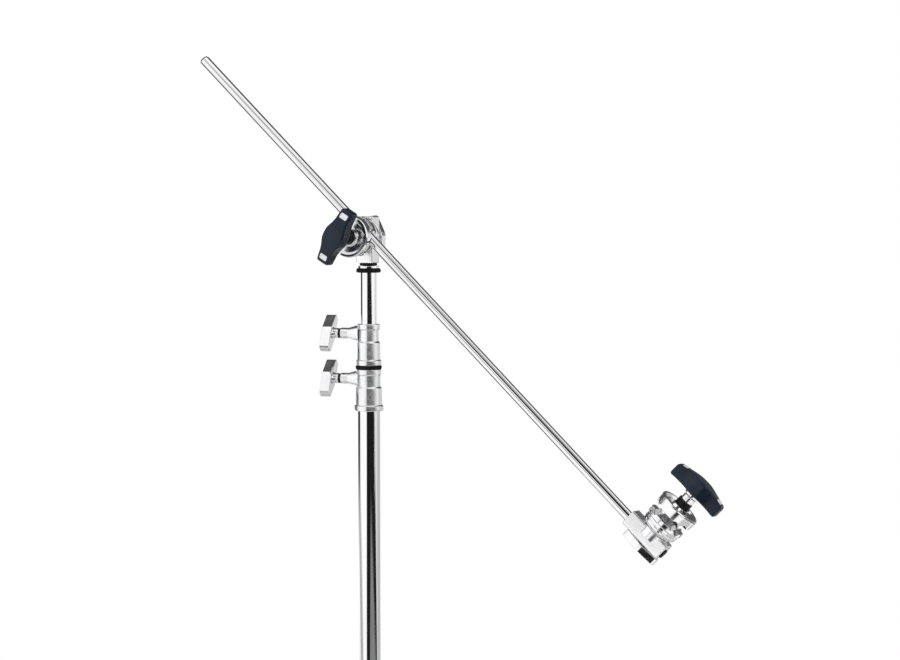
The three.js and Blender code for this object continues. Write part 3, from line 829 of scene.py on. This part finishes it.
def grooved(disc, face):
    """The disc with its four V-grooves and its bolt hole."""
    for rod_r, turned_by in ((ROD_R, 0), (4.5, 180), (3.5, 90), (2.5, -90)):
        disc = boolean(disc, groove_bar(face, rod_r, ARM_OFFSET, turned_by), "DIFFERENCE")
    bore = round_cutter(BOLT_R + GAP, 0, 100, 48)
    return boolean(disc, moved(bore, ALONG_X), "DIFFERENCE")


def inner_jaw():
    """A drum with a rounded back and a rim, grooved for rods across its face."""
    shape = turned([
        [0, BODY_FRONT + GAP], [19, BODY_FRONT + GAP, 0.6], [19, 18, 0.8], [25, 18.6, 1.5],
        [28.2, 21.5, 3], [28.6, 25, 0.6], [27.8, 25.8, 0.4], [27.8, 26.8, 0.4], [28.8, 27.6, 0.6],
        [29, 31.5, 1], [DISC_R, 33, 0.8], [DISC_R, JAW_INNER - 0.2, 0.9], [0, JAW_INNER],
    ], 0.8, 96)
    return grooved(moved(shape, ALONG_X), JAW_INNER)


def outer_jaw():
    back = OUTER_DISC_BACK
    shape = turned([
        [0, JAW_OUTER], [DISC_R + 1.1, JAW_OUTER, 0.9], [DISC_R + 2.1, back - 3, 1.6],
        [DISC_R + 1, back - 1, 1], [DISC_R - 3, back - 1, 0.8], [DISC_R - 6, back - 5, 1.5],
        [15, back - 5, 1.5], [13, back, 0.8], [0, back],
    ], 0.8, 96)
    return grooved(moved(shape, ALONG_X), JAW_OUTER)


def thread(radius, pitch, low, high, depth=0.55, around=24):
    """A helical thread about Z."""
    steps = round((high - low) / pitch * around)
    loops = []
    for i in range(steps // 2 + 1):
        z = low + (high - low) * i / (steps // 2)
        loop = []
        for k in range(around):
            phase = (z - low) / pitch - k / around
            wave = abs((phase % 1) * 2 - 1)
            r = radius - depth * wave
            angle = 2 * math.pi * k / around
            loop.append((r * math.cos(angle), r * math.sin(angle), z))
        loops.append(loop)
    return skin(loops)


def clamp_bolt():
    """The bolt: plain in the body, threaded from the jaws to the handle."""
    low, high = ROD_R + 2 * GAP, JAW_INNER - 6
    shank = turned([[0, low], [BOLT_R, low, 0.4], [BOLT_R, high, 0.4], [0, high]], 0.4, SMALL_SIDES)
    screw = thread(BOLT_R, BOLT_PITCH, high - 1, HUB_END + 9)
    return moved(merged(shank, screw), ALONG_X)


def jaw_spring():
    inset = JAW_WIRE + 0.1
    shape = spring(JAW_SPRING_R, 3, JAW_INNER + inset, JAW_OUTER - inset, JAW_WIRE, 10)
    return moved(shape, ALONG_X)


def stretched_spring(prefix, jaw_frame):
    """The jaw spring in its place between the jaws, baked into the frame and riding on no body."""
    node = f"{prefix}_jaw_spring"
    piece = place(f"visual_{node}", node, jaw_spring(), jaw_frame, finish_of(node), rides=False)
    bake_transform(piece)
    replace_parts(piece, node)


def thrust_bearing():
    """A caged bearing between two washers, ribbed round its edge."""
    start = OUTER_DISC_BACK + GAP
    profile = [[BOLT_R + GAP, start]]
    pitch = (BEARING_END - start) / 4
    for i in range(4):
        low = start + pitch * i
        profile += [[11.5, low, 0.3], [11.5, low + pitch * 0.62, 0.3], [10.1, low + pitch * 0.72, 0.2],
                    [10.1, low + pitch * 0.9, 0.2]]
    profile[-2:] = [[11.5, BEARING_END, 0.4]]
    profile.append([BOLT_R + GAP, BEARING_END])
    return moved(turned(profile, 0.3, 64, 2), ALONG_X)


def handle_sleeve():
    """The plated steel sleeve that the handle is moulded on."""
    start = BEARING_END + GAP
    profile = [
        [BOLT_R + GAP, start], [10, start, 0.6], [10, 87.6, 1], [12, 89.6, 0.8],
        [12, HUB_END, 0.4], [BOLT_R + GAP, HUB_END],
    ]
    return moved(turned(profile, 0.4, 64), ALONG_X)


# the handle's half width, back and front at places along it, from its middle to its end
HANDLE_WIDTHS = [(0, 17), (8, 16.4), (18, 12.9), (26, 11.2), (36, 10.7), (HANDLE_HALF, 10.2)]
HANDLE_BACKS = [
    (0, HUB_END + GAP), (14, HUB_END + GAP), (34, HUB_END - 0.7), (HANDLE_HALF, HUB_END - 1.7),
]
HANDLE_FRONTS = [
    (0, HANDLE_END), (14, HANDLE_END - 0.5), (28, HANDLE_END - 3), (HANDLE_HALF, HANDLE_END - 7),
]


def head_handle():
    """The moulded handle: broad in the middle, narrow at its ends, its face bowed outward."""
    widths, backs, fronts = (
        lambda z, heights=heights: smooth_height(heights, z)
        for heights in (HANDLE_WIDTHS, HANDLE_BACKS, HANDLE_FRONTS)
    )
    return bar(HANDLE_HALF, widths, backs, fronts, 3.4, 61)


def handle_inlay(side):
    """A pale inlay let into the handle's face near one end."""
    centre = HANDLE_HALF - 10
    plate = prism(rectangle(4.2, 6.4, 2), -0.5, 0.35, 0.25, 2)
    inner, front, outer = (smooth_height(HANDLE_FRONTS, centre + step) for step in (-3, 0, 3))
    lean = math.degrees(math.atan2(inner - outer, 6))
    moved(plate, ALONG_X, turn(-lean * side, "Y"), shift(front, 0, side * centre))
    return plate


def head(prefix, body_frame, jaw_frame, handle_turn, knob):
    """One grip head: what stays with the socket, the two jaws, and the handle that closes them."""
    def add(part, shape, matrix):
        remake(f"{prefix}_{part}", shape, matrix)

    grip_frame = body_frame @ turn(handle_turn, "X")
    behind = body_frame @ turn(180, "Z") @ turn(-knob["turn"], "X")
    neck_start = max(knob["start"] - 5, -BODY_BACK + GAP)
    body = head_body()
    if neck_start - GAP > -BODY_BACK + 1:
        body = merged(body, back_boss(neck_start - GAP))
    add("body", body, body_frame)
    add("clamp_bolt", clamp_bolt(), body_frame)
    screw_start = ROD_R + 1.5 * GAP + 2.4 + GAP
    add("lock_screw", lock_screw(screw_start, knob["start"] + SCREW_GRIP), behind)
    add("t_knob", t_knob(7, neck_start, knob["start"], 31, knob["thick"]), behind)
    add("inner_jaw", inner_jaw(), jaw_frame)
    add("outer_jaw", outer_jaw(), jaw_frame)
    stretched_spring(prefix, jaw_frame)
    add("thrust_bearing", thrust_bearing(), grip_frame)
    add("handle_sleeve", handle_sleeve(), grip_frame)
    add("handle", head_handle(), grip_frame)
    for side, word in ((1, "upper"), (-1, "lower")):
        name = f"visual_{prefix}_{word}_inlay"
        place(name, f"{prefix}_handle", handle_inlay(side), grip_frame, INLAY)


def arm():
    """The arm: a drawn chrome tube with a plug in each end."""
    slide = JOINTS["arm_slide"]
    roll = JOINTS["end_head_roll"]
    down = Vector(slide["axis"])
    along = local_frame(down.orthogonal(), down, roll["pos_m"])
    drawn = tube(ROD_R, ROD_R - ARM_WALL, ARM_BACK, ARM_FRONT, 0.7)
    remake("arm_tube", drawn, along)
    fit = ROD_R - ARM_WALL - GAP
    for node, end, facing in (("arm_top_plug", ARM_BACK, 180), ("arm_end_plug", ARM_FRONT, 0)):
        plug = turned([
            [0, -12], [fit, -12, 0.8], [fit, GAP, 0], [ROD_R - 0.3, GAP, 0.2],
            [ROD_R - 1, 2, 0.7], [0, 2],
        ], 0.5, 48)
        moved(plug, turn(facing, "X"), shift(z=end))
        remake(node, plug, along)


def heads_and_arm():
    tilt = JOINTS["arm_tilt"]
    down_arm = Vector(JOINTS["arm_slide"]["axis"])
    bolt = Vector(tilt["axis"])
    first = local_frame(bolt, (0, 0, 1), tilt["pos_m"])
    first_jaws = local_frame(bolt, bolt.cross(down_arm), tilt["pos_m"])
    head("head", first, first_jaws, -30, {"start": 20.5, "turn": 12, "thick": 13})
    swivel = JOINTS["end_jaw_swivel"]
    end_bolt = Vector(swivel["axis"])
    second = local_frame(end_bolt, down_arm, swivel["pos_m"])
    head("end_head", second, second @ turn(90, "X"), 0, {"start": 12, "turn": 0, "thick": 11})
    arm()


# ---------- small pieces that the CAD already shows well ----------

def finish_cad_nodes():
    """Every CAD node keeps its shape and gets its slot's finish."""
    for node, piece in frame["nodes"].items():
        piece.data.materials.clear()
        piece.data.materials.append(finish_of(node))


# ---------- stage, light and camera ----------

# What the chrome mirrors, in degrees. Azimuth is from the front toward the right. A flag leans and
# widens with each degree of elevation.
# (azimuth, half width, edge, lean, widening), (elevation, half height, edge), darkness
FLAGS = (
    ((11, 27, 7, -1.9, -2.6), (-16, 18, 5), 0.99),  # tall, in front
    ((5, 24, 10, 0, 0), (35, 14, 8), 0.99),  # high, over the camera
    ((40, 26, 16, 0, 0), (52, 12, 8), 0.6),  # higher still, toward the right
    ((-34, 11, 10, 0, 0), (32, 7, 8), 0.6),  # small, on the left of that
    ((-33, 12, 8, 0, 0), (8, 5, 5), 0.85),  # small, left of the tall one
    ((-119, 22, 12, 0, 0), (-3, 4.8, 3), 0.97),  # left edge of the backdrop
    ((-158, 17, 16, -6.9, 0), (-10.3, 2.6, 3), 0.6),  # the same edge lower down
    ((138, 42, 14, 0, 0), (-10, 24, 10), 0.3),  # grey, right of the backdrop
    ((120, 60, 20, 0, 0), (-14, 9.5, 4), 0.3),  # grey, under it
    ((180, 75, 30, 0, 0), (45, 38, 12), 0.92),  # over the backdrop and overhead
    ((-115, 22, 14, 0, 0), (-27, 13, 8), 0.9),  # low, on the left
)
SHEEN = ((-19, -61, 12, -5.2, -8), (-12, 4.5, 2), 0.22)  # the tall flag's lower part is not quite dark
STUDIO_LIGHT = 1.15


def flag_math(tree, operation, *numbers):
    """One Math node, fed by sockets or plain numbers."""
    node = tree.nodes.new("ShaderNodeMath")
    node.operation = operation
    for socket, value in zip(node.inputs, numbers):
        if isinstance(value, (int, float)):
            socket.default_value = value
        else:
            tree.links.new(value, socket)
    return node.outputs["Value"]


def flag_edge(tree, distance, half, edge_deg):
    """1 while the distance is under half, falling to 0 across the edge."""
    fall = tree.nodes.new("ShaderNodeMapRange")
    fall.interpolation_type = "SMOOTHSTEP"
    fall.inputs["From Min"].default_value = -math.radians(edge_deg) / 2
    fall.inputs["From Max"].default_value = math.radians(edge_deg) / 2
    fall.inputs["To Min"].default_value = 1
    fall.inputs["To Max"].default_value = 0
    tree.links.new(flag_math(tree, "SUBTRACT", distance, half), fall.inputs["Value"])
    return fall.outputs["Result"]


def flag_shade(tree, azimuth, elevation, across, up, darkness):
    """How much light one flag lets through in each direction."""
    centre, half, edge, lean, widening = across
    middle = flag_math(tree, "MULTIPLY_ADD", elevation, lean, math.radians(centre))
    half_width = flag_math(tree, "MULTIPLY_ADD", elevation, widening, math.radians(half))
    offset = flag_math(tree, "WRAP", flag_math(tree, "SUBTRACT", azimuth, middle), math.pi, -math.pi)
    wide = flag_edge(tree, flag_math(tree, "ABSOLUTE", offset), half_width, edge)
    climb = flag_math(tree, "SUBTRACT", elevation, math.radians(up[0]))
    tall = flag_edge(tree, flag_math(tree, "ABSOLUTE", climb), math.radians(up[1]), up[2])
    return flag_math(tree, "MULTIPLY_ADD", flag_math(tree, "MULTIPLY", wide, tall), -darkness, 1)


def studio():
    """A white studio with dark flags for the chrome to mirror; seen directly it is plain white."""
    world = bpy.data.worlds.new("studio")
    bpy.context.scene.world = world
    world.use_nodes = True
    tree = world.node_tree
    nodes, links = tree.nodes, tree.links
    nodes.clear()
    split = nodes.new("ShaderNodeSeparateXYZ")
    links.new(nodes.new("ShaderNodeTexCoord").outputs["Generated"], split.inputs["Vector"])
    toward_front = flag_math(tree, "MULTIPLY", split.outputs["Y"], -1)
    azimuth = flag_math(tree, "ARCTAN2", split.outputs["X"], toward_front)
    elevation = flag_math(tree, "ARCSINE", split.outputs["Z"])
    light = flag_shade(tree, azimuth, elevation, *FLAGS[0])
    for flag in FLAGS[1:]:
        light = flag_math(tree, "MULTIPLY", light, flag_shade(tree, azimuth, elevation, *flag))
    sheen = flag_math(tree, "SUBTRACT", 1, flag_shade(tree, azimuth, elevation, *SHEEN))
    light = flag_math(tree, "MAXIMUM", light, sheen)
    mirrored = nodes.new("ShaderNodeBackground")
    mirrored.inputs["Strength"].default_value = STUDIO_LIGHT
    links.new(light, mirrored.inputs["Color"])
    seen = nodes.new("ShaderNodeBackground")
    seen.inputs["Color"].default_value = (1, 1, 1, 1)
    mix = nodes.new("ShaderNodeMixShader")
    links.new(nodes.new("ShaderNodeLightPath").outputs["Is Camera Ray"], mix.inputs["Fac"])
    links.new(mirrored.outputs["Background"], mix.inputs[1])
    links.new(seen.outputs["Background"], mix.inputs[2])
    output = nodes.new("ShaderNodeOutputWorld")
    links.new(mix.outputs["Shader"], output.inputs["Surface"])


def floor():
    """A plain pale disc under the feet, small enough to leave the backdrop white."""
    material, shader = new_material("pale_floor", (0.86, 0.86, 0.86), 0.0, 0.6)
    vary(material, shader, noise(material, 3, 3), "Roughness", 0.5, 0.7)
    tint(material, shader, noise(material, 1.5, 2), (0.84, 0.84, 0.84), (0.88, 0.88, 0.88))
    shape = turned([[0, FLOOR - 10], [FLOOR_R, FLOOR - 10], [FLOOR_R, FLOOR, 4], [0, FLOOR]], 2, 128)
    bmesh.ops.transform(shape, matrix=STANDING, verts=shape.verts)
    mesh = bpy.data.meshes.new("floor")
    shape.to_mesh(mesh)
    shape.free()
    mesh.materials.append(material)
    piece = bpy.data.objects.new("floor", mesh)
    bpy.context.scene.collection.objects.link(piece)


def soft_light(name, place_m, aim_m, size_m, power):
    data = bpy.data.lights.new(name, "AREA")
    data.shape = "RECTANGLE"
    data.size, data.size_y = size_m
    data.energy = power
    lamp = bpy.data.objects.new(name, data)
    lamp.location = place_m
    lamp.rotation_euler = (Vector(aim_m) - Vector(place_m)).to_track_quat("-Z", "Y").to_euler()
    bpy.context.scene.collection.objects.link(lamp)
    lamp.visible_camera = False
    lamp.visible_glossy = False


def lights():
    aim = (0.12, 0, 1.15)
    soft_light("key", (-2.6, -2.6, 2.9), aim, (1.6, 1.6), 25)
    soft_light("fill", (2.8, -2.0, 1.6), aim, (1.2, 2.0), 8)


def camera():
    """A long lens level with the heads, from the front and a little above."""
    distance, raise_deg, aim = 3.552, 3.37, Vector((0.1258, 0, 1.1847))
    data = bpy.data.cameras.new("camera")
    data.sensor_width = 36
    data.lens = 91.9
    data.clip_start, data.clip_end = 0.05, 50
    piece = bpy.data.objects.new("camera", data)
    raised = math.radians(raise_deg)
    piece.location = aim + distance * Vector((0, -math.cos(raised), math.sin(raised)))
    piece.rotation_euler = (aim - piece.location).to_track_quat("-Z", "Y").to_euler()
    bpy.context.scene.collection.objects.link(piece)
    bpy.context.scene.camera = piece


# ---------- the whole scene ----------

finish_cad_nodes()
column_and_risers()
base_spring()
legs()
for prefix, casting in COLLARS.items():
    collar(prefix, casting)
heads_and_arm()
floor()
studio()
lights()
camera()
bpy.context.scene.view_settings.view_transform = "Standard"
